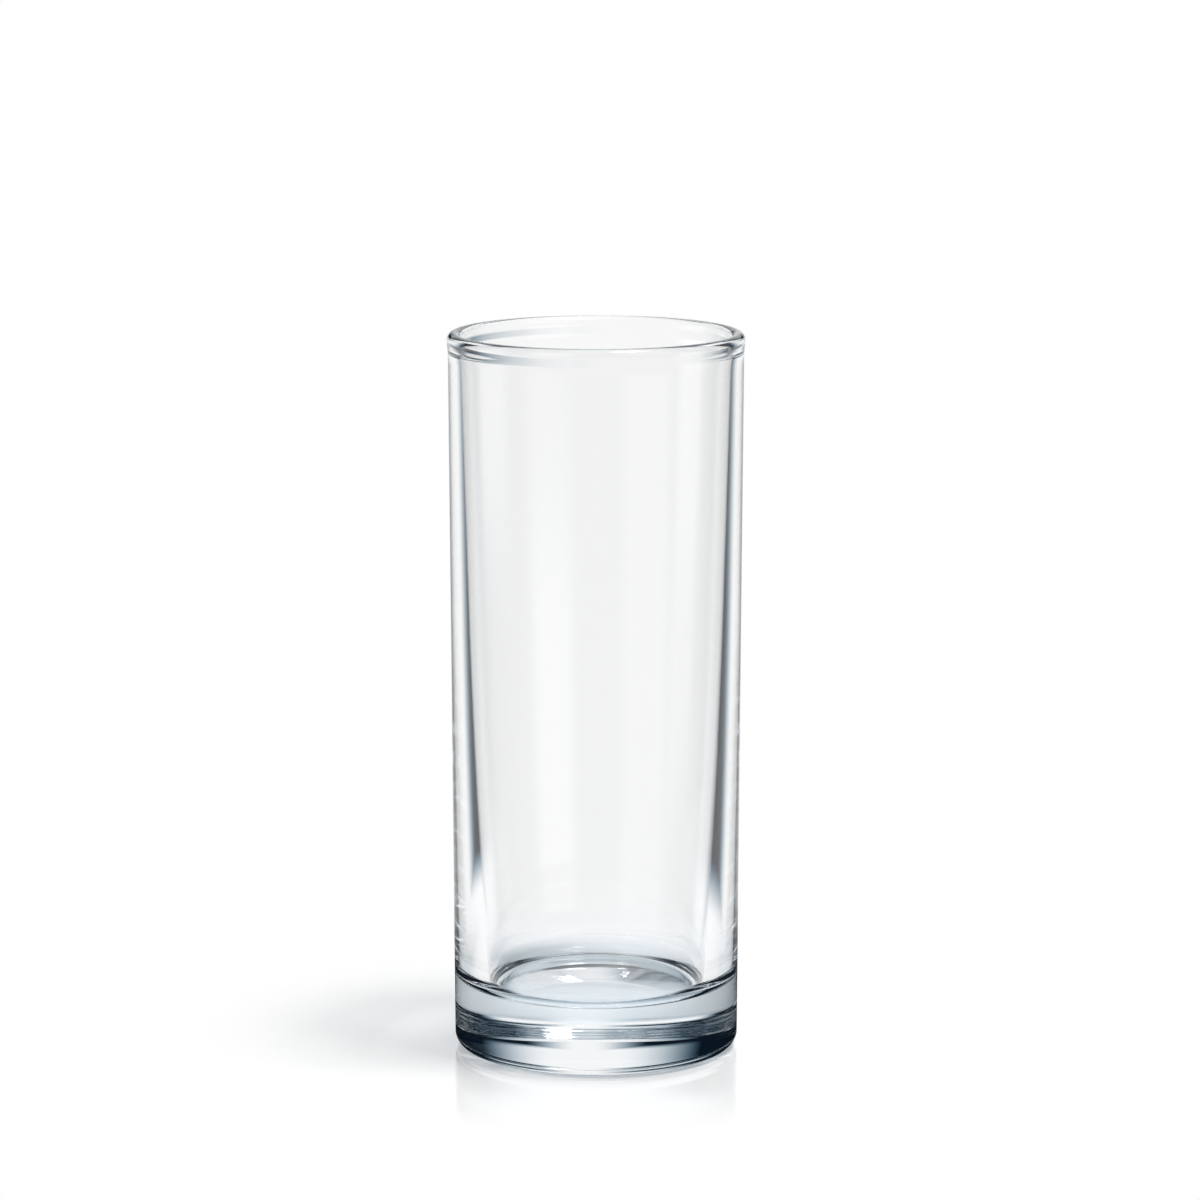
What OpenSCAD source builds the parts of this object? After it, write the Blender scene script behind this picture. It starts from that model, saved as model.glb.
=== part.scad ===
// Straight-sided juice glass with a heavy base.
// The real glass is a single pressed and fire-polished piece. It is drawn here in the three
// zones that its making gives it, which share their faces: the rounded rim, the side wall
// that thickens downwards, and the solid base with the floor of the hollow.
// Sizes are in millimetres. The glass stands on z = 0 and its axis is +Z.

/* [Overall] */
// Height from the table to the top of the rim
height = 148; // [120:1:200]
// Outside diameter of the side wall where it meets the rim
top_diameter = 60; // [54:0.5:80]
// Outside diameter of the base where its heel ends
foot_diameter = 58.3; // [54:0.1:80]

/* [Rim] */
// Height of the rim zone, from its neck to the top
rim_height = 4.5; // [3.5:0.1:8]
// Thickness across the rounded rim
rim_thickness = 3; // [2.2:0.05:4.5]
// How far the rim stands proud of the wall on the outside
rim_overhang = 0.25; // [0:0.05:0.6]

/* [Side wall] */
// Thickness of the wall at the neck, just below the rim
neck_thickness = 2.5; // [1.8:0.05:4]
// Angle between the inside and the outside of the wall above the sweep, in degrees
inside_draft = 1.18; // [0:0.02:2.5]
// Height above the table at which the inside starts to curve away from the outside
sweep_height = 90; // [40:1:110]
// Radius of the long curve that thickens the lower wall
sweep_radius = 1920; // [500:10:3000]

/* [Base] */
// Thickness of solid glass under the floor of the hollow, measured from the table
base_thickness = 12.8; // [8:0.1:25]
// Radius of the round corner between the wall and the floor
floor_corner = 4; // [1:0.25:8]
// Radius of the round heel at the outer edge of the base
heel_radius = 2.8; // [1:0.1:7]
// Width of the flat ring on which the glass stands
bearing_width = 4; // [2:0.25:8]
// Height of the shallow hollow under the base, at the axis
push_up = 0.8; // [0.2:0.1:2]

/* [Hidden] */

// Steps in a full circle, in an arc or the sweep, and in the blend below the rim
$fn = 160;
arc_steps = 12;
blend_steps = 8;

glass_tint = [0.86, 0.93, 0.95, 0.45];

// Outside of the wall: a straight line from the heel to the neck
neck_z = height - rim_height;
top_r = top_diameter / 2;
foot_r = foot_diameter / 2;
outside_slope = (top_r - foot_r) / (neck_z - heel_radius);
function outside_r(z) = foot_r + outside_slope * (z - heel_radius);

// Inside of the wall: it follows the outside at a thickness that grows downwards
function sweep_drop(z) = max(sweep_height - z, 0);
function wall_thickness(z) =
    neck_thickness + (neck_z - z) * tan(inside_draft) + pow(sweep_drop(z), 2) / (2 * sweep_radius);
function inside_r(z) = outside_r(z) - wall_thickness(z);
function inside_lean(z) = atan(outside_slope + tan(inside_draft) + sweep_drop(z) / sweep_radius);

// Rim: a half round top over two soft blends that run down to the neck
round_r = rim_thickness / 2;
round_z = height - round_r;
round_mid_r = top_r + rim_overhang - round_r;

// The floor corner is tangent to the wall and to the flat floor, and the wall and the base part
// where it begins. The wall leans the same all over the corner, to a hundredth of a degree.
corner_mid_z = base_thickness + floor_corner;
corner_lean = inside_lean(corner_mid_z);
split_z = corner_mid_z - floor_corner * sin(corner_lean);
corner_mid_r = inside_r(split_z) - floor_corner * cos(corner_lean);

// Underside: a flat bearing ring around a shallow spherical hollow
bearing_outer_r = foot_r - heel_radius;
bearing_inner_r = bearing_outer_r - bearing_width;
hollow_r = (pow(bearing_inner_r, 2) + pow(push_up, 2)) / (2 * push_up);
hollow_half_angle = asin(bearing_inner_r / hollow_r);

// Points of an arc in the (radius, height) plane, from one angle to another
function arc(mid, r, from, to, steps = arc_steps) =
    [for (i = [0:steps]) let (a = from + (to - from) * i / steps) mid + r * [cos(a), sin(a)]];

// Points of a smooth S-shaped blend between two (radius, height) points
function blend(start, end, steps = blend_steps) =
    [for (i = [0:steps]) let (t = i / steps, s = (1 - cos(180 * t)) / 2)
        [start.x + (end.x - start.x) * s, start.y + (end.y - start.y) * t]];

// Points of the inside of the wall between two heights
function inside(from, to, steps = arc_steps) =
    [for (i = [0:steps]) let (z = from + (to - from) * i / steps) [inside_r(z), z]];

// Turns a closed outline of (radius, height) points about the axis of the glass
module turned(outline) {
    rotate_extrude() polygon(outline);
}

module rim_bead() {
    outer_blend = blend([top_r, neck_z], [round_mid_r + round_r, round_z]);
    inner_blend = blend([round_mid_r - round_r, round_z], [inside_r(neck_z), neck_z]);
    top_round = arc([round_mid_r, round_z], round_r, 0, 180);
    last_inner_point = len(top_round) - 2;
    top_points = [for (i = [1:last_inner_point]) top_round[i]];
    color(glass_tint) turned(concat(outer_blend, top_points, inner_blend));
}

module side_wall() {
    color(glass_tint) turned(concat(
        [[outside_r(split_z), split_z], [top_r, neck_z], [inside_r(neck_z), neck_z]],
        inside(sweep_height, split_z)));
}

module heavy_base() {
    corner = arc([corner_mid_r, corner_mid_z], floor_corner, -corner_lean, -90);
    heel = arc([bearing_outer_r, heel_radius], heel_radius, -90, 0);
    hollow = arc([0, push_up - hollow_r], hollow_r, 90, 90 - hollow_half_angle);
    color(glass_tint) turned(concat(
        hollow, heel, [[outside_r(split_z), split_z]], corner, [[0, base_thickness]]));
}

rim_bead();
side_wall();
heavy_base();
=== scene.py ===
"""Looks of a straight-sided juice glass: one continuous piece of clear pressed glass in a white studio.

Units are metres. The glass stands on z = 0 with its axis on +Z, and the camera looks along +Y.
"""

import logging
import math
from dataclasses import dataclass
from functools import reduce
from typing import Any, Union

import bpy
import numpy as np
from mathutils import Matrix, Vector


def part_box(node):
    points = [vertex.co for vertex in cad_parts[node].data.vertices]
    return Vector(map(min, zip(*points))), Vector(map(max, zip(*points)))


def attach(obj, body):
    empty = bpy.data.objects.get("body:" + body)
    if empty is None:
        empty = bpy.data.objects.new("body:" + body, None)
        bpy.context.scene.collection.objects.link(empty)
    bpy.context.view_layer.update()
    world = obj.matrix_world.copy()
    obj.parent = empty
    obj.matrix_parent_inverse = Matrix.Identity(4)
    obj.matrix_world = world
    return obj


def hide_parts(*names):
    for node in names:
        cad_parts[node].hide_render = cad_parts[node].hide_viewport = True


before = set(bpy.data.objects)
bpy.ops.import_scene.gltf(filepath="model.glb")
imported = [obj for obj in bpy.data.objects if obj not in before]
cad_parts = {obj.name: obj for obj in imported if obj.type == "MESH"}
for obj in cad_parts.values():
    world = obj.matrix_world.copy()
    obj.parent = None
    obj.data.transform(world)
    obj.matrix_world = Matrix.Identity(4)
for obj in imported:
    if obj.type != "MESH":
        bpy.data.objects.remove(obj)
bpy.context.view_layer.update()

LOG = logging.getLogger("juice_glass")
MM = 0.001
Operand = Union["Signal", float]
Colour = tuple[float, float, float, float]
Point = Union[tuple[float, float], np.ndarray]


class Signal:
    """A shader socket that Python expressions can use; each operator adds one Math node."""

    def __init__(self, net: "ShaderNet", socket: bpy.types.NodeSocket | None) -> None:
        """Wraps a socket.

        Args:
            net: The net that owns the socket.
            socket: The output socket, or None for a node that has none.
        """
        self.net = net
        self.socket = socket

    def math(self, operation: str, *operands: Operand) -> "Signal":
        """Adds a Math node.

        Args:
            operation: The Math node's operation.
            operands: Its inputs in order, as signals or plain numbers.

        Returns:
            The node's result.
        """
        return self.net.node("ShaderNodeMath", {"operation": operation}, dict(enumerate(operands)))

    def __add__(self, other: Operand) -> "Signal":
        """The sum of the signal and another value."""
        return self.math("ADD", self, other)

    __radd__ = __add__

    def __sub__(self, other: Operand) -> "Signal":
        """The signal less another value."""
        return self.math("SUBTRACT", self, other)

    def __rsub__(self, other: Operand) -> "Signal":
        """Another value less the signal."""
        return self.math("SUBTRACT", other, self)

    def __mul__(self, other: Operand) -> "Signal":
        """The product of the signal and another value."""
        return self.math("MULTIPLY", self, other)

    __rmul__ = __mul__

    def larger(self, other: Operand) -> "Signal":
        """The larger of the signal and another value."""
        return self.math("MAXIMUM", self, other)


class ShaderNet:
    """The node tree of one material or of the world, filled node by node."""

    def __init__(self, tree: bpy.types.NodeTree) -> None:
        """Takes over a tree and empties it.

        Args:
            tree: The node tree.
        """
        self.tree = tree
        tree.nodes.clear()

    def node(
        self,
        kind: str,
        settings: dict[str, Any] | None = None,
        inputs: dict[Union[str, int], Any] | None = None,
        output: Union[str, int] = 0,
    ) -> Signal:
        """Adds a node, sets it, then fills its sockets.

        Args:
            kind: The node's type name.
            settings: The node's own settings.
            inputs: Values or signals by the socket's name or number.
            output: The output socket to hand back.

        Returns:
            The chosen output as a signal.
        """
        made = self.tree.nodes.new(kind)
        for name, value in (settings or {}).items():
            setattr(made, name, value)
        for name, value in (inputs or {}).items():
            if isinstance(value, Signal):
                self.tree.links.new(value.socket, made.inputs[name])
            else:
                made.inputs[name].default_value = value
        return Signal(self, made.outputs[output] if len(made.outputs) else None)


def new_material(name: str) -> tuple[bpy.types.Material, ShaderNet]:
    """Makes an empty node material.

    Args:
        name: The material's name.

    Returns:
        The material and the net that fills it.
    """
    material = bpy.data.materials.new(name)
    material.use_nodes = True
    return material, ShaderNet(material.node_tree)


@dataclass(frozen=True)
class PressedGlass:
    """Clear soda-lime glass with a faint blue-green body tint and soft mould waves."""

    ior: float = 1.52
    tint: Colour = (0.72, 0.86, 0.95, 1.0)
    tint_density: float = 2.5
    wave_scale: float = 55.0
    wave_detail: float = 1.0
    wave_height: float = 0.004 * MM
    haze_scale: float = 137.5
    haze_detail: float = 4.0
    smoothest: float = 0.0
    roughest: float = 0.012

    def material(self) -> bpy.types.Material:
        """Builds the glass: refraction, absorption along the path, slow waves and a breath of haze.

        Returns:
            The finished material.
        """
        material, net = new_material("clear_pressed_glass")
        place = net.node("ShaderNodeTexCoord", output="Object")
        waves = net.node(
            "ShaderNodeTexNoise",
            inputs={"Vector": place, "Scale": self.wave_scale, "Detail": self.wave_detail},
        )
        haze = net.node(
            "ShaderNodeTexNoise",
            inputs={"Vector": place, "Scale": self.haze_scale, "Detail": self.haze_detail},
        )
        bump = net.node(
            "ShaderNodeBump",
            inputs={"Height": waves, "Strength": 1.0, "Distance": self.wave_height},
        )
        surface = net.node(
            "ShaderNodeBsdfPrincipled",
            inputs={
                "Base Color": (1.0, 1.0, 1.0, 1.0),
                "Roughness": self.smoothest + haze * (self.roughest - self.smoothest),
                "IOR": self.ior,
                "Transmission Weight": 1.0,
                "Normal": bump,
            },
        )
        body = net.node(
            "ShaderNodeVolumeAbsorption",
            inputs={"Color": self.tint, "Density": self.tint_density},
        )
        net.node("ShaderNodeOutputMaterial", inputs={"Surface": surface, "Volume": body})
        return material


def arc(mid: Point, radius: float, start: float, stop: float, count: int) -> np.ndarray:
    """Points of a circular arc: mid + radius * (cos a, sin a), with a running evenly from start to stop.

    Args:
        mid: The arc's centre in the (radius, height) plane.
        radius: The arc's radius.
        start: The first angle, in radians.
        stop: The last angle, in radians.
        count: The number of points.

    Returns:
        An array of count (radius, height) points.
    """
    angle = np.linspace(start, stop, count)
    return np.asarray(mid) + radius * np.stack([np.cos(angle), np.sin(angle)], axis=1)


def line(start: Point, stop: Point, count: int) -> np.ndarray:
    """Points of a straight line: start + (stop - start) * t, with t running evenly from 0 to 1.

    Args:
        start: The first (radius, height) point.
        stop: The last (radius, height) point.
        count: The number of points.

    Returns:
        An array of count (radius, height) points.
    """
    share = np.linspace(0.0, 1.0, count)[:, None]
    return np.asarray(start) + (np.asarray(stop) - np.asarray(start)) * share


def blend(start: Point, stop: Point, count: int) -> np.ndarray:
    """Points of an S-shaped blend: height runs evenly, radius follows (1 - cos(pi t)) / 2.

    Args:
        start: The first (radius, height) point.
        stop: The last (radius, height) point.
        count: The number of points.

    Returns:
        An array of count (radius, height) points.
    """
    points = line(start, stop, count)
    share = np.linspace(0.0, 1.0, count)
    points[:, 0] = start[0] + (stop[0] - start[0]) * (1.0 - np.cos(math.pi * share)) / 2.0
    return points


def joined(*stretches: np.ndarray) -> np.ndarray:
    """Joins stretches end to end, leaving out each later stretch's first point, which repeats.

    Args:
        stretches: Arrays of points; each starts where the one before it ends.

    Returns:
        One array of points.
    """
    return np.vstack([stretches[0]] + [stretch[1:] for stretch in stretches[1:]])


def turned(name: str, outline: np.ndarray, steps: int) -> bpy.types.Object:
    """Turns an outline about +Z: a point (r, z) at angle a becomes (r cos a, r sin a, z).

    The outline starts and ends on the axis, where one vertex closes each pole with a fan.

    Args:
        name: The object's name.
        outline: The (radius, height) points, from the lower pole round the outside to the upper pole.
        steps: The number of steps round the axis.

    Returns:
        A smooth, closed mesh object with its faces pointing outwards.
    """
    rings = outline[1:-1]
    angle = np.linspace(0.0, 2.0 * math.pi, steps, endpoint=False)
    radius, height = rings[:, :1], rings[:, 1:]
    grid = np.stack(
        [radius * np.cos(angle), radius * np.sin(angle), height + 0.0 * angle], axis=2
    ).reshape(-1, 3)
    poles = np.array([[0.0, 0.0, outline[0, 1]], [0.0, 0.0, outline[-1, 1]]])
    index = np.arange(len(grid)).reshape(len(rings), steps)
    after = np.roll(index, -1, axis=1)
    quads = np.stack([index[:-1], after[:-1], after[1:], index[1:]], axis=2).reshape(-1, 4)
    low_pole = np.full(steps, len(grid))
    high_pole = low_pole + 1
    low_fan = np.stack([low_pole, after[0], index[0]], axis=1)
    high_fan = np.stack([high_pole, index[-1], after[-1]], axis=1)
    mesh = bpy.data.meshes.new(name)
    mesh.from_pydata(np.vstack([grid, poles]), [], quads.tolist() + low_fan.tolist() + high_fan.tolist())
    mesh.polygons.foreach_set("use_smooth", np.ones(len(mesh.polygons), dtype=bool))
    mesh.update()
    piece = bpy.data.objects.new(name, mesh)
    bpy.context.scene.collection.objects.link(piece)
    return piece


@dataclass
class JuiceGlass:
    """The whole glass, drawn as one closed surface of revolution over the three CAD zones.

    The height, the outer radii and the split between wall and base come from the frame.
    """

    finish: PressedGlass
    rim_thickness: float = 3.0 * MM
    neck_thickness: float = 2.5 * MM
    inside_draft: float = math.radians(1.18)
    sweep_height: float = 90.0 * MM
    sweep_radius: float = 1920.0 * MM
    base_thickness: float = 12.8 * MM
    floor_corner: float = 4.0 * MM
    heel_radius: float = 2.8 * MM
    bearing_width: float = 4.0 * MM
    push_up: float = 0.8 * MM
    # Steps round the axis, and points along each stretch of the outline
    steps_round: int = 288
    hollow_points: int = 40
    ring_points: int = 8
    round_points: int = 24
    rim_points: int = 28
    blend_points: int = 10
    outside_points: int = 50
    inside_points: int = 90
    floor_points: int = 30

    def __post_init__(self) -> None:
        """Reads the outer sizes from the frame's zones."""
        _, rim_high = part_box("rim_bead")
        _, wall_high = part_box("side_wall")
        _, base_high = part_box("heavy_base")
        self.height = rim_high.z
        self.rim_r = rim_high.x
        self.neck = (wall_high.x, wall_high.z)
        self.split = (base_high.x, base_high.z)

    @property
    def outside_slope(self) -> float:
        """How much the outer radius of the straight wall grows with its height."""
        return (self.neck[0] - self.split[0]) / (self.neck[1] - self.split[1])

    def outside_r(self, height: np.ndarray | float) -> np.ndarray | float:
        """The outer radius of the straight wall.

        Args:
            height: One height or an array of heights above the table.

        Returns:
            The outer radius at each height.
        """
        return self.neck[0] + self.outside_slope * (height - self.neck[1])

    def inside_r(self, height: np.ndarray | float) -> np.ndarray | float:
        """The inner radius: the outer one less a thickness that grows with the drop below the neck.

        Thickness = neck thickness + drop * tan(draft) + curve, where the curve is the square of the
        drop below the sweep's start over twice the sweep's radius.

        Args:
            height: One height or an array of heights above the table.

        Returns:
            The inner radius at each height.
        """
        sweep = np.maximum(self.sweep_height - height, 0.0)
        curve = sweep**2 / (2.0 * self.sweep_radius)
        drop = self.neck[1] - height
        thickness = self.neck_thickness + drop * math.tan(self.inside_draft) + curve
        return self.outside_r(height) - thickness

    def underside(self) -> np.ndarray:
        """A shallow spherical hollow, the flat bearing ring and the round heel.

        Returns:
            The (radius, height) points from the axis out.
        """
        foot_r = self.outside_r(self.heel_radius)
        ring_r = foot_r - self.heel_radius
        hollow_edge = ring_r - self.bearing_width
        hollow_r = (hollow_edge**2 + self.push_up**2) / (2.0 * self.push_up)
        half_angle = math.asin(hollow_edge / hollow_r)
        quarter = math.pi / 2.0
        hollow_mid = (0.0, self.push_up - hollow_r)
        hollow = arc(hollow_mid, hollow_r, quarter, quarter - half_angle, self.hollow_points)
        ring = line(hollow[-1], (ring_r, 0.0), self.ring_points)
        heel = arc((ring_r, self.heel_radius), self.heel_radius, -quarter, 0.0, self.round_points)
        return joined(hollow, ring, heel)

    def rim(self) -> np.ndarray:
        """A half round top over two soft blends.

        Returns:
            The (radius, height) points from the outer neck to the inner neck.
        """
        round_r = self.rim_thickness / 2.0
        mid_r = self.rim_r - round_r
        round_z = self.height - round_r
        inner_neck = (self.neck[0] - self.neck_thickness, self.neck[1])
        outer = blend(self.neck, (self.rim_r, round_z), self.blend_points)
        top = arc((mid_r, round_z), round_r, 0.0, math.pi, self.rim_points)
        inner = blend(top[-1], inner_neck, self.blend_points)
        return joined(outer, top, inner)

    def inside(self) -> np.ndarray:
        """The inner wall down to the floor corner, a tangent quarter round, and the flat floor.

        Returns:
            The (radius, height) points from the inner neck to the axis.
        """
        corner_z = self.base_thickness + self.floor_corner
        curve = (self.sweep_height - corner_z) / self.sweep_radius
        lean = math.atan(self.outside_slope + math.tan(self.inside_draft) + curve)
        split_z = corner_z - self.floor_corner * math.sin(lean)
        corner_r = self.inside_r(split_z) - self.floor_corner * math.cos(lean)
        level = np.linspace(self.neck[1], split_z, self.inside_points)
        wall = np.stack([self.inside_r(level), level], axis=1)
        corner = arc((corner_r, corner_z), self.floor_corner, -lean, -math.pi / 2.0, self.round_points)
        floor = line(corner[-1], (0.0, self.base_thickness), self.floor_points)
        return joined(wall, corner, floor)

    def build(self) -> bpy.types.Object:
        """Builds the closed surface and ties it to the frame.

        Returns:
            The piece that stands for all three CAD zones.
        """
        under = self.underside()
        outside = line(under[-1], self.neck, self.outside_points)
        outline = joined(under, outside, self.rim(), self.inside())
        piece = turned("juice_glass", outline, self.steps_round)
        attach(piece, "root")
        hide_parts("rim_bead", "side_wall", "heavy_base")
        # The key light also reaches the floor through the glass
        piece.cycles.is_caustics_caster = True
        return piece

    def dress(self, piece: bpy.types.Object) -> None:
        """Gives the piece its glass.

        Args:
            piece: The piece that build made.
        """
        piece.data.materials.append(self.finish.material())


@dataclass
class Camera:
    """A long lens at the photograph's angle, a little above the rim."""

    distance: float = 976.0 * MM
    height: float = 265.0 * MM
    pitch: float = math.radians(10.0)
    side: float = 0.8 * MM
    lens_mm: float = 145.6
    sensor_mm: float = 36.0

    def build(self) -> bpy.types.Object:
        """Makes the camera and hands it to the scene.

        Returns:
            The camera object.
        """
        data = bpy.data.cameras.new("studio_camera")
        data.sensor_width = self.sensor_mm
        data.lens = self.lens_mm
        camera = bpy.data.objects.new("studio_camera", data)
        camera.location = (self.side, -self.distance, self.height)
        camera.rotation_euler = (math.pi / 2.0 - self.pitch, 0.0, 0.0)
        bpy.context.scene.collection.objects.link(camera)
        bpy.context.scene.camera = camera
        return camera


@dataclass(frozen=True)
class SoftPatch:
    """A soft round patch of light on the tent.

    Angles are in degrees, and azimuth 0 is behind the glass.

    Attributes:
        azimuth: The direction of its middle, round the glass.
        elevation: The direction of its middle, above the horizon.
        radius: Where it has faded to half its level, as an angle from its middle.
        edge: Half the width of its soft edge.
        level: Its light, where 1 is white.
    """

    azimuth: float
    elevation: float
    radius: float
    edge: float
    level: float

    @property
    def direction(self) -> tuple[float, float, float]:
        """The unit vector from the glass to the patch: (cos e sin a, cos e cos a, sin e)."""
        around, up = math.radians(self.azimuth), math.radians(self.elevation)
        return math.cos(up) * math.sin(around), math.cos(up) * math.cos(around), math.sin(up)


@dataclass(frozen=True)
class WhitePanel:
    """A soft-edged white panel of the tent.

    Angles are in degrees, and azimuth 0 is behind the glass.

    Attributes:
        azimuth: The direction of its middle, round the glass.
        half: Half its width.
        edge: Half the width of its soft left and right edges.
        bottom: The elevation of its lower edge.
        top: The elevation of its upper edge.
        rise: Half the width of its soft lower and upper edges.
    """

    azimuth: float
    half: float
    edge: float
    bottom: float
    top: float
    rise: float


@dataclass
class Studio:
    """A white floor and room, one soft key light, and the tent that the glass looks out at.

    Lengths are in metres and angles in degrees.
    """

    # The room's light and the key lamp
    room_fill: float = 0.55
    key_energy: float = 28.5
    key_size: float = 0.5
    key_distance: float = 2.2
    key_azimuth: float = 65.0
    key_elevation: float = 74.0
    # The floor, and how much brighter the camera sees it; rays from the glass see a painted blue glow on
    # it, brightest under the glass, standing in for light through the glass
    floor_colour: Colour = (0.9, 0.9, 0.9, 1.0)
    floor_roughness: float = 0.12
    floor_lift: float = 0.08
    painted_glow_through: tuple[float, float, float] = (0.01, 0.05, 0.08)
    painted_glow_under: float = 0.3
    under_from: float = 0.020
    under_to: float = 0.026
    floor_drop: float = 0.1 * MM
    floor_radius: float = 6.0
    floor_points: int = 128
    # Distances from the axis over which the floor clears away for rays from the glass, behind it
    # and at its sides, and the angle from straight behind at which the sides start
    fade_from: float = 0.04
    fade_to: float = 0.10
    side_from: float = 0.0265
    side_to: float = 0.030
    side_angle: float = 55.0
    side_edge: float = 15.0
    # Distances over which the floor runs into plain white for the camera, all round and in front
    white_from: float = 0.045
    white_to: float = 0.09
    front_from: float = 0.036
    front_to: float = 0.066
    # Distances over which the painted dark floor in reflections, a painted shade near the foot, ends
    mirror_from: float = 0.07
    mirror_to: float = 0.15
    # The tent, its panels and its patches
    tent_radius: float = 2.5
    tent_centre: float = 74.0 * MM
    tent_columns: int = 97
    tent_rows: int = 49
    tent_level: float = 1.02
    tent_cast: tuple[float, float, float] = (1.25, 1.05, 0.92)
    # The first three are behind the glass for the main camera, the others at its sides and front
    panels: tuple[WhitePanel, ...] = (
        WhitePanel(-2.0, 37.0, 9.0, -95.0, 4.0, 4.0),
        WhitePanel(3.0, 10.0, 8.0, -95.0, 33.0, 6.0),
        WhitePanel(3.0, 25.0, 17.0, 12.0, 33.0, 1.5),
        WhitePanel(-45.0, 30.0, 12.0, -33.0, -20.4, 0.7),
        WhitePanel(50.0, 28.0, 10.0, -33.0, -21.0, 1.0),
        WhitePanel(-86.0, 15.0, 6.0, -12.0, 5.0, 2.0),
        WhitePanel(138.0, 20.0, 8.0, -24.0, -7.0, 2.0),
    )
    dark_level: float = 0.01
    patches: tuple[SoftPatch, ...] = (
        SoftPatch(45.0, 81.0, 14.0, 8.0, 0.95),
        SoftPatch(45.0, 63.0, 25.0, 8.0, 0.95),
        SoftPatch(165.0, 77.0, 17.0, 9.0, 0.85),
        SoftPatch(290.0, 64.0, 16.0, 7.0, 0.36),
    )
    bounces: int = 32

    @staticmethod
    def link(name: str, data: bpy.types.ID) -> bpy.types.Object:
        """Makes an object of some data and links it to the scene.

        Args:
            name: The object's name.
            data: The mesh or lamp that it shows.

        Returns:
            The object.
        """
        made = bpy.data.objects.new(name, data)
        bpy.context.scene.collection.objects.link(made)
        return made

    def build_room(self) -> None:
        """Makes the world: plain white where it is seen, a little dimmer as light on the floor."""
        world = bpy.data.worlds.new("white_room")
        world.use_nodes = True
        net = ShaderNet(world.node_tree)
        seen = net.node("ShaderNodeLightPath", output="Is Camera Ray")
        seen = seen.larger(net.node("ShaderNodeLightPath", output="Is Glossy Ray"))
        seen = seen.larger(net.node("ShaderNodeLightPath", output="Is Transmission Ray"))
        level = self.room_fill + seen * (1.0 - self.room_fill)
        light = net.node(
            "ShaderNodeBackground", inputs={"Color": (1.0, 1.0, 1.0, 1.0), "Strength": level}
        )
        net.node("ShaderNodeOutputWorld", inputs={"Surface": light})
        bpy.context.scene.world = world

    def floor_material(self) -> bpy.types.Material:
        """Makes the glossy white floor, which runs into plain white away from the glass.

        Rays that leave the glass see it under the glass and close behind it, with a painted blue glow
        that is brightest under the glass, and look past it at the tent elsewhere. In reflections off the
        glass it is painted dark near the foot, a painted shade.

        Returns:
            The finished material.
        """
        material, net = new_material("glossy_white_floor")
        seen = net.node("ShaderNodeLightPath", output="Is Camera Ray")
        through = net.node("ShaderNodeLightPath", output="Is Transmission Ray")
        place = net.node("ShaderNodeTexCoord", output="Object")
        away = net.node("ShaderNodeVectorMath", {"operation": "LENGTH"}, {0: place}, "Value")
        # Painted glow: rays from the glass see a blue emission on the floor, brightest under the glass,
        # in place of light that passes through it
        under = self.step(net, away, self.under_from, self.under_to, self.painted_glow_under, 0.0)
        lifts = {
            name: seen * self.floor_lift + through * (lift + under)
            for name, lift in zip(("Red", "Green", "Blue"), self.painted_glow_through)
        }
        surface = net.node(
            "ShaderNodeBsdfPrincipled",
            inputs={
                "Base Color": self.floor_colour,
                "Roughness": self.floor_roughness,
                "Emission Color": net.node("ShaderNodeCombineColor", inputs=lifts),
                "Emission Strength": 1.0,
            },
        )
        white = net.node("ShaderNodeEmission", inputs={"Strength": 1.0})
        dark = net.node("ShaderNodeEmission", inputs={"Strength": 0.0})
        clear = net.node("ShaderNodeBsdfTransparent")
        reflected = net.node("ShaderNodeLightPath", output="Is Glossy Ray") - through
        before = -1.0 * net.node("ShaderNodeSeparateXYZ", inputs={0: place}, output="Y")
        front = self.step(net, before, self.front_from, self.front_to)
        whitened = seen * front.larger(self.step(net, away, self.white_from, self.white_to))
        # Painted shade: in reflections the floor near the foot is a black emission
        painted_reflection_shade = reflected * self.step(net, away, self.mirror_from, self.mirror_to, 1.0, 0.0)
        cleared = through * self.floor_gap(net, place, away)
        pale = net.node("ShaderNodeMixShader", inputs={0: whitened, 1: surface, 2: white})
        shaded = net.node("ShaderNodeMixShader", inputs={0: painted_reflection_shade, 1: pale, 2: dark})
        floor = net.node("ShaderNodeMixShader", inputs={0: cleared, 1: shaded, 2: clear})
        net.node("ShaderNodeOutputMaterial", inputs={"Surface": floor})
        return material

    def floor_gap(self, net: ShaderNet, place: Signal, away: Signal) -> Signal:
        """How far the floor has cleared away: later behind the glass than beside and before it.

        Args:
            net: The net that gets the nodes.
            place: The position on the floor.
            away: The distance from the axis.

        Returns:
            The share that is clear.
        """
        x = net.node("ShaderNodeSeparateXYZ", inputs={0: place}, output="X")
        y = net.node("ShaderNodeSeparateXYZ", inputs={0: place}, output="Y")
        turn = x.math("ABSOLUTE", x.math("ARCTAN2", x, y))
        beside = self.ramp(net, turn, self.side_angle, self.side_edge)
        far = self.step(net, away, self.fade_from, self.fade_to)
        near = self.step(net, away, self.side_from, self.side_to)
        return far.larger(beside * near)

    def build_floor(self) -> bpy.types.Object:
        """Makes the round floor: its edge is (r cos a, r sin a, -drop), a hair below the glass.

        Returns:
            The floor object.
        """
        angle = np.linspace(0.0, 2.0 * math.pi, self.floor_points, endpoint=False)
        round_edge = self.floor_radius * np.stack([np.cos(angle), np.sin(angle)], axis=1)
        edge = np.hstack([round_edge, np.full((len(angle), 1), -self.floor_drop)])
        mesh = bpy.data.meshes.new("floor")
        mesh.from_pydata(edge, [], [list(range(len(angle)))])
        mesh.materials.append(self.floor_material())
        floor = self.link("floor", mesh)
        floor.cycles.is_caustics_receiver = True
        return floor

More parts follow.
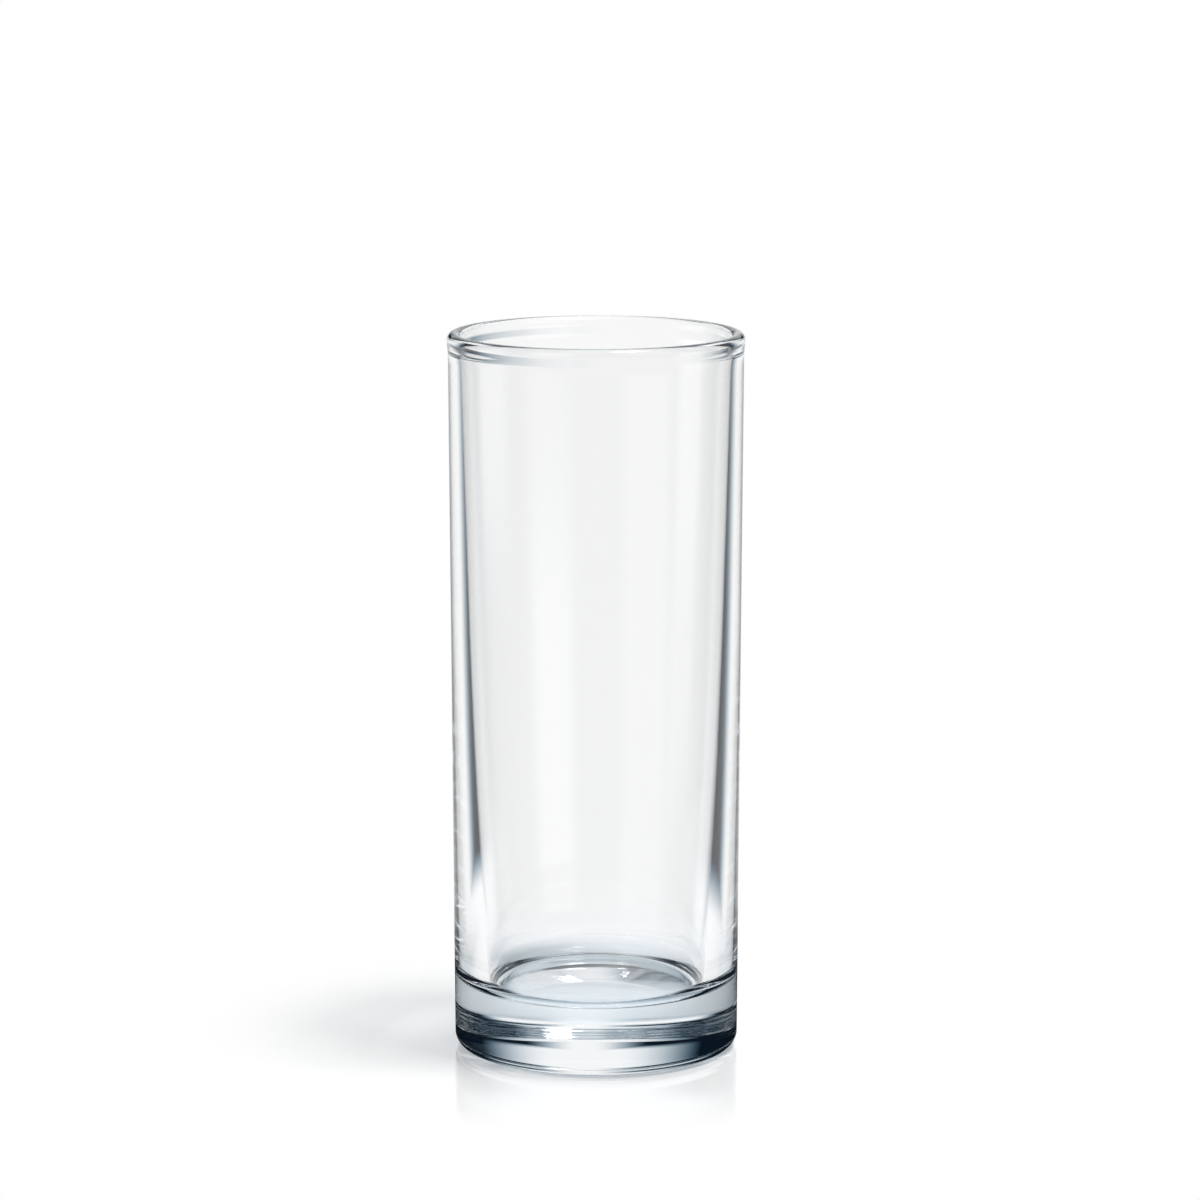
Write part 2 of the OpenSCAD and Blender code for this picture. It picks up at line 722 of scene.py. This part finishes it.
    def build_key(self) -> bpy.types.Object:
        """Makes the soft square key light, high on the camera's right.

        Returns:
            The lamp object.
        """
        data = bpy.data.lights.new("key_softbox", "AREA")
        data.energy = self.key_energy
        data.size = self.key_size
        data.cycles.is_caustics_light = True
        lamp = self.link("key_softbox", data)
        around = math.radians(self.key_azimuth)
        up = math.radians(self.key_elevation)
        flat = math.cos(up)
        away = Vector((flat * math.sin(around), -flat * math.cos(around), math.sin(up)))
        lamp.location = self.key_distance * away
        lamp.rotation_euler = away.to_track_quat("Z", "Y").to_euler()
        return lamp

    def build_tent(self) -> bpy.types.Object:
        """Makes a tent round the set: a ball x = r cos e sin a, y = r cos e cos a, z = r sin e.

        Only rays that the glass sends on or the floor mirrors can see it.

        Returns:
            The tent.
        """
        across = np.linspace(-math.pi, math.pi, self.tent_columns)
        up = np.linspace(-math.pi / 2.0, math.pi / 2.0, self.tent_rows)[:, None]
        ball = np.stack(
            [np.cos(up) * np.sin(across), np.cos(up) * np.cos(across), np.sin(up) + 0.0 * across], axis=2
        )
        place = np.arange(ball.size // 3).reshape(ball.shape[:2])
        faces = np.stack([place[:-1, :-1], place[1:, :-1], place[1:, 1:], place[:-1, 1:]], axis=2)
        mesh = bpy.data.meshes.new("tent")
        mesh.from_pydata(self.tent_radius * ball.reshape(-1, 3), [], faces.reshape(-1, 4).tolist())
        mesh.materials.append(self.tent_cloth())
        tent = self.link("tent", mesh)
        tent.location = (0.0, 0.0, self.tent_centre)
        tent.visible_camera = False
        tent.visible_diffuse = False
        tent.visible_shadow = False
        return tent

    def tent_cloth(self) -> bpy.types.Material:
        """Makes the tent's light: white panels and soft ceiling patches in a dark room.

        The panels stand behind the glass for the main camera and for some other sides. The tent's
        colour is its level raised to one power for each channel: white stays white, and dark turns
        blue.
        To light that the floor has scattered it is as bright as the room, which shines through the
        glass on the floor.

        Returns:
            The finished material.
        """
        material, net = new_material("tent_cloth")
        place = net.node("ShaderNodeTexCoord", output="Object")
        x = net.node("ShaderNodeSeparateXYZ", inputs={0: place}, output="X")
        y = net.node("ShaderNodeSeparateXYZ", inputs={0: place}, output="Y")
        z = net.node("ShaderNodeSeparateXYZ", inputs={0: place}, output="Z")
        around = x.math("ARCTAN2", x, y)
        up = z.math("ARCSINE", z * (1.0 / self.tent_radius))
        lights = [self.panel_level(net, around, up, panel) for panel in self.panels]
        lights += [self.patch_level(net, place, patch) for patch in self.patches]
        scattered = net.node("ShaderNodeLightPath", output="Diffuse Depth")
        lights.append(self.room_fill * scattered.math("MINIMUM", scattered, 1.0))
        level = reduce(Signal.larger, lights).larger(self.dark_level)
        cast = {
            name: level.math("POWER", level, power)
            for name, power in zip(("Red", "Green", "Blue"), self.tent_cast)
        }
        colour = net.node("ShaderNodeCombineColor", inputs=cast)
        light = net.node("ShaderNodeEmission", inputs={"Color": colour, "Strength": self.tent_level})
        net.node("ShaderNodeOutputMaterial", inputs={"Surface": light})
        material.cycles.emission_sampling = "NONE"
        return material

    def panel_level(self, net: ShaderNet, around: Signal, up: Signal, panel: WhitePanel) -> Signal:
        """The light of one panel: soft steps on the angles from its middle and on the elevation.

        Args:
            net: The net that gets the nodes.
            around: The azimuth on the tent, in radians.
            up: The elevation on the tent, in radians.
            panel: The panel.

        Returns:
            The panel's level, 1 on it and 0 away from it.
        """
        turn = around - math.radians(panel.azimuth)
        across = turn.math("ABSOLUTE", turn.math("WRAP", turn, math.pi, -math.pi))
        level = self.ramp(net, across, panel.half, -panel.edge)
        level *= self.ramp(net, up, panel.top, -panel.rise)
        return level * self.ramp(net, up, panel.bottom, panel.rise)

    def patch_level(self, net: ShaderNet, place: Signal, patch: SoftPatch) -> Signal:
        """The light of one patch: a smooth step on the cosine of the angle from its middle.

        Args:
            net: The net that gets the nodes.
            place: The position on the tent.
            patch: The patch.

        Returns:
            The patch's level, 0 away from it.
        """
        unit = net.node("ShaderNodeVectorMath", {"operation": "NORMALIZE"}, {0: place})
        cosine = net.node(
            "ShaderNodeVectorMath", {"operation": "DOT_PRODUCT"}, {0: unit, 1: patch.direction}, "Value"
        )
        outer = math.cos(math.radians(patch.radius + patch.edge))
        inner = math.cos(math.radians(patch.radius - patch.edge))
        return self.step(net, cosine, outer, inner) * patch.level

    @staticmethod
    def step(
        net: ShaderNet,
        value: Signal,
        low: float,
        high: float,
        start: float = 0.0,
        stop: float = 1.0,
    ) -> Signal:
        """A smooth step between two levels.

        Args:
            net: The net that gets the node.
            value: The value that drives the step.
            low: Where the step starts.
            high: Where the step ends.
            start: The level below the step.
            stop: The level above the step.

        Returns:
            The step's level.
        """
        return net.node(
            "ShaderNodeMapRange",
            {"interpolation_type": "SMOOTHSTEP"},
            {"Value": value, "From Min": low, "From Max": high, "To Min": start, "To Max": stop},
        )

    def ramp(self, net: ShaderNet, angle: Signal, middle: float, half: float) -> Signal:
        """A smooth step from 0 to 1 about an angle.

        Args:
            net: The net that gets the node.
            angle: The angle, in radians.
            middle: The middle of the step, in degrees.
            half: Half the step's width, in degrees; below 0 the step falls from 1 to 0.

        Returns:
            The step's value.
        """
        low, high = math.radians(middle - abs(half)), math.radians(middle + abs(half))
        return self.step(net, angle, low, high, *((0.0, 1.0) if half > 0.0 else (1.0, 0.0)))

    def build(self) -> None:
        """Builds the room, the floor, the lamp and the tent, and lets light turn often in the base."""
        cycles = bpy.context.scene.cycles
        cycles.max_bounces = self.bounces
        cycles.glossy_bounces = self.bounces
        cycles.transmission_bounces = self.bounces
        self.build_room()
        self.build_floor()
        self.build_key()
        self.build_tent()


def main() -> None:
    """Builds the glass and its studio, in order."""
    logging.basicConfig(level=logging.INFO, format="%(name)s: %(message)s")
    bpy.context.scene.view_settings.view_transform = "Standard"
    glass = JuiceGlass(PressedGlass())
    piece = glass.build()
    glass.dress(piece)
    LOG.info("%s: %d faces", piece.name, len(piece.data.polygons))
    Camera().build()
    Studio().build()


if __name__ == "__main__":
    main()
